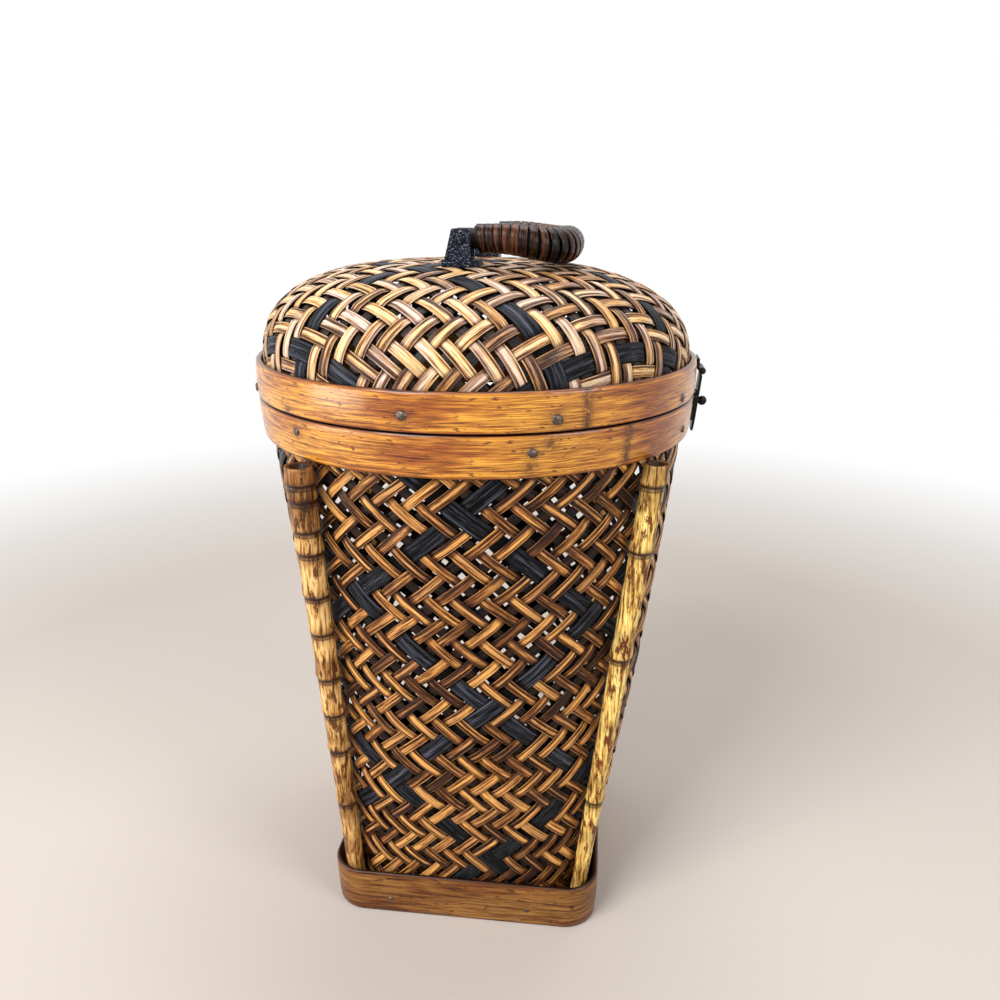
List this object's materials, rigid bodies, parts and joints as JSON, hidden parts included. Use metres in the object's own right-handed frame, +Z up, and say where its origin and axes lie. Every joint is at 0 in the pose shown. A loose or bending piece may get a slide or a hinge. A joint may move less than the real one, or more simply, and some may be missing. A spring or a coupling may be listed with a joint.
{
  "type": "lidded basket",
  "caption": "Tall lidded rattan basket on a rounded square base that turns round at the rim, with bamboo posts and hoops, domed hinged lid, wrapped bail handle and iron hasp.",
  "frame": {"origin": "centre of the base hoop, on the surface that the basket stands on", "axes": "+Z up; +X towards the latch, -X towards the hinge; -Y is the front in the picture"},
  "size_m": [0.2859, 0.271, 0.4459],
  "materials": {
    "rattan": "split rattan, tan to brown with near-black strips, satin",
    "hoop_bamboo": "lacquered bamboo strip, orange tan, glossy",
    "base_bamboo": "lacquered bamboo strip, brown",
    "post_bamboo": "knotty bamboo, yellow tan with dark rings",
    "pale_bamboo": "knotty bamboo, cream with brown blotches",
    "slat_bamboo": "split bamboo, plain",
    "dark_rattan": "rattan peel, dark red-brown, glossy",
    "core_wood": "bent rattan cane, dark",
    "black_iron": "black paint over iron, speckled",
    "dark_iron": "dark worn iron"
  },
  "bodies": {
    "basket": {"body_weave": "rattan", "body_rim_hoop_outer": "hoop_bamboo", "body_rim_hoop_inner": "hoop_bamboo", "base_hoop_outer": "base_bamboo", "base_hoop_inner": "base_bamboo", "corner_post_front_left": "post_bamboo", "corner_post_front_right": "pale_bamboo", "corner_post_back_right": "post_bamboo", "corner_post_back_left": "post_bamboo", "floor_slat_crosswise": "slat_bamboo", "floor_slat_lengthwise": "slat_bamboo", "hinge_leaf_body": "dark_iron", "hinge_pin": "dark_iron", "latch_plate_body": "dark_iron"},
    "lid": {"lid_weave": "rattan", "lid_hoop_outer": "hoop_bamboo", "lid_hoop_inner": "hoop_bamboo", "hinge_leaf_lid": "dark_iron", "latch_leaf_lid": "dark_iron", "latch_pin": "dark_iron", "handle_bracket_front": "black_iron", "handle_bracket_back": "black_iron", "bracket_backing_front": "dark_iron", "bracket_backing_back": "dark_iron", "bracket_rivet_front_left": "dark_iron", "bracket_rivet_front_right": "dark_iron", "bracket_rivet_back_left": "dark_iron", "bracket_rivet_back_right": "dark_iron", "handle_pin_front": "dark_iron", "handle_pin_back": "dark_iron"},
    "handle": {"handle_core": "core_wood", "handle_wrap": "dark_rattan"},
    "hasp": {"latch_hasp": "dark_iron"},
    "knob": {"latch_knob": "dark_iron"}
  },
  "joints": [
    {"name": "lid_hinge", "type": "hinge", "parent": "basket", "child": "lid", "pos_m": [-0.139, 0, 0.3475], "axis": [0, -1, 0], "range_deg": [0, 180]},
    {"name": "handle_swing", "type": "hinge", "parent": "lid", "child": "handle", "pos_m": [-0.002, 0, 0.4375], "axis": [0, -1, 0], "range_deg": [0, 180]},
    {"name": "hasp_swing", "type": "hinge", "parent": "lid", "child": "hasp", "pos_m": [0.13944, 0, 0.36], "axis": [0, -1, 0], "range_deg": [0, 160]},
    {"name": "knob_turn", "type": "hinge", "parent": "basket", "child": "knob", "pos_m": [0.13522, 0, 0.3407], "axis": [0.9961, 0, -0.0882], "range_deg": [0, 90]}
  ]
}
